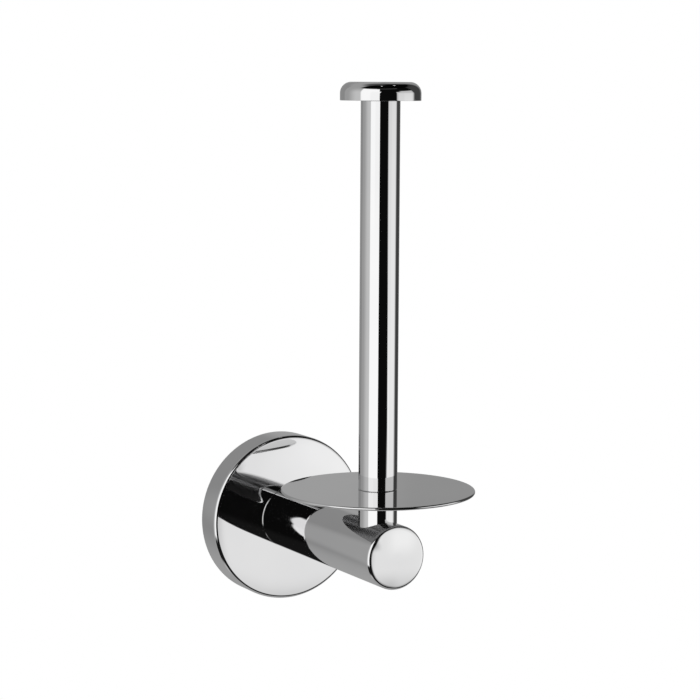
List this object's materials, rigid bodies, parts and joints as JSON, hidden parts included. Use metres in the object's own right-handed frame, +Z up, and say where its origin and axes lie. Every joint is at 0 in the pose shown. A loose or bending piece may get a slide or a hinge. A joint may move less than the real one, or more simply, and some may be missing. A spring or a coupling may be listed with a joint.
{
  "type": "spare toilet roll holder",
  "caption": "Wall-mounted upright spare toilet roll holder in chrome: round rosette, straight arm, vertical post with a thin rest disc and a button cap, locked to a hidden wall plate.",
  "frame": {"origin": "on the wall, at the centre of the wall plate's back face, on the axis of the rosette and the arm", "axes": "+Y into the wall, -Y out into the room along the arm, +Z up along the post, +X to the right for someone facing the wall"},
  "size_m": [0.06, 0.0985, 0.1716],
  "materials": {
    "chrome_plating": "polished chrome plating",
    "zinc_plating": "satin zinc plating",
    "plain_steel": "plain stainless steel",
    "bush_brass": "turned brass"
  },
  "bodies": {
    "wall_plate_body": {"wall_plate": "zinc_plating"},
    "holder_body": {"rosette": "chrome_plating", "arm": "chrome_plating", "arm_screw": "plain_steel", "lock_washer": "plain_steel", "locating_pin": "plain_steel", "post_stud": "plain_steel", "post_foot": "chrome_plating", "rest_disc": "chrome_plating", "post_tube": "chrome_plating", "lower_bush": "bush_brass", "upper_bush": "bush_brass", "top_cap": "chrome_plating"},
    "set_screw_body": {"set_screw": "plain_steel"}
  },
  "joints": [
    {"name": "holder_pull_off", "type": "slide", "parent": "wall_plate_body", "child": "holder_body", "axis": [0, -1, 0], "range_m": [0, 0.03]},
    {"name": "set_screw_back_out", "type": "slide", "parent": "holder_body", "child": "set_screw_body", "axis": [0, 0, -1], "range_m": [0, 0.0021]}
  ]
}
